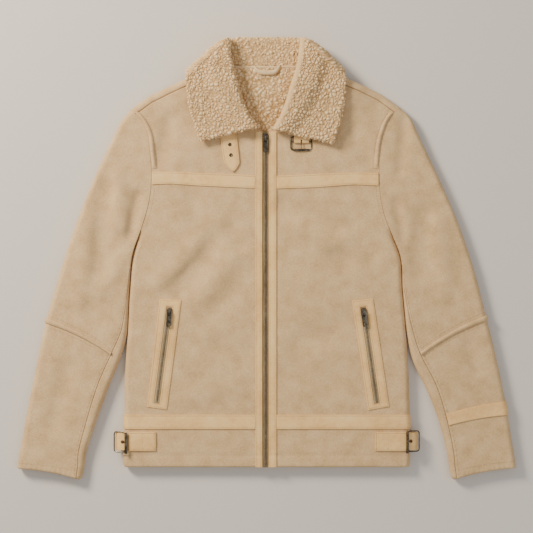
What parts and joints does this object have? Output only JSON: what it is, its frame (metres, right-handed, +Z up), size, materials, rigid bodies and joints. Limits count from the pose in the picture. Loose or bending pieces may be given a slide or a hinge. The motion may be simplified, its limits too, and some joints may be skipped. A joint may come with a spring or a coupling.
{
  "type": "aviator jacket",
  "caption": "Faux-shearling aviator jacket with a sherpa collar, leather trims, zips and buckled side tabs, laid flat on its back.",
  "frame": {"origin": "bottom centre of the bounding box, on the floor under the jacket's back", "axes": "+X to the right as seen from above, across the sleeves; +Y towards the collar; +Z up from the floor"},
  "size_m": [0.901, 0.7998, 0.0452],
  "materials": {
    "suede": "matte sueded face of faux shearling",
    "leather": "satin smooth faux leather",
    "sherpa": "curled sherpa pile",
    "zip_tape": "matte woven tape",
    "nickel": "antique nickel"
  },
  "bodies": {
    "jacket": {"armhole_welt_left": "suede", "armhole_welt_right": "suede", "back": "suede", "collar_back": "sherpa", "collar_leaf_left": "sherpa", "collar_leaf_right": "sherpa", "elbow_welt_left": "suede", "elbow_welt_right": "suede", "forearm_band_right": "leather", "front_left": "suede", "front_right": "suede", "front_yoke_left": "suede", "front_yoke_right": "suede", "hanger_loop": "leather", "hem_band_left": "suede", "hem_band_right": "suede", "hem_trim_left": "leather", "hem_trim_right": "leather", "main_zip_slider": "nickel", "pocket_chain_left": "zip_tape", "pocket_chain_right": "zip_tape", "pocket_frame_left": "leather", "pocket_frame_right": "leather", "pocket_left_slider": "nickel", "pocket_right_slider": "nickel", "side_buckle_left": "nickel", "side_buckle_right": "nickel", "side_strap_left": "leather", "side_strap_right": "leather", "side_tab_left": "leather", "side_tab_right": "leather", "sleeve_lower_left": "suede", "sleeve_lower_right": "suede", "sleeve_upper_left": "suede", "sleeve_upper_right": "suede", "throat_buckle": "nickel", "throat_strap": "leather", "throat_tab": "leather", "under_sleeve_left": "suede", "under_sleeve_right": "suede", "yoke_trim_left": "leather", "yoke_trim_right": "leather", "zip_binding_left": "leather", "zip_binding_right": "leather", "zip_chain": "nickel", "zip_tape": "zip_tape"},
    "main_zip_pull": {"main_zip_pull": "nickel"},
    "pocket_left_pull": {"pocket_left_pull": "nickel"},
    "pocket_right_pull": {"pocket_right_pull": "nickel"},
    "throat_prong": {"throat_prong": "nickel"}
  },
  "joints": [
    {"name": "main_zip_pull_turn", "type": "hinge", "parent": "jacket", "child": "main_zip_pull", "pos_m": [-0.0024, 0.2165, 0.0242], "axis": [-1, 0, 0], "range_deg": [0, 150]},
    {"name": "pocket_left_pull_turn", "type": "hinge", "parent": "jacket", "child": "pocket_left_pull", "pos_m": [-0.1756, -0.097, 0.0252], "axis": [-0.9986, 0.0533, 0], "range_deg": [0, 150]},
    {"name": "pocket_right_pull_turn", "type": "hinge", "parent": "jacket", "child": "pocket_right_pull", "pos_m": [0.174, -0.097, 0.0252], "axis": [-0.9936, -0.1126, 0], "range_deg": [0, 150]},
    {"name": "throat_prong_turn", "type": "hinge", "parent": "jacket", "child": "throat_prong", "pos_m": [0.0617, 0.2098, 0.0204], "axis": [-1, 0, 0], "range_deg": [0, 100]}
  ]
}
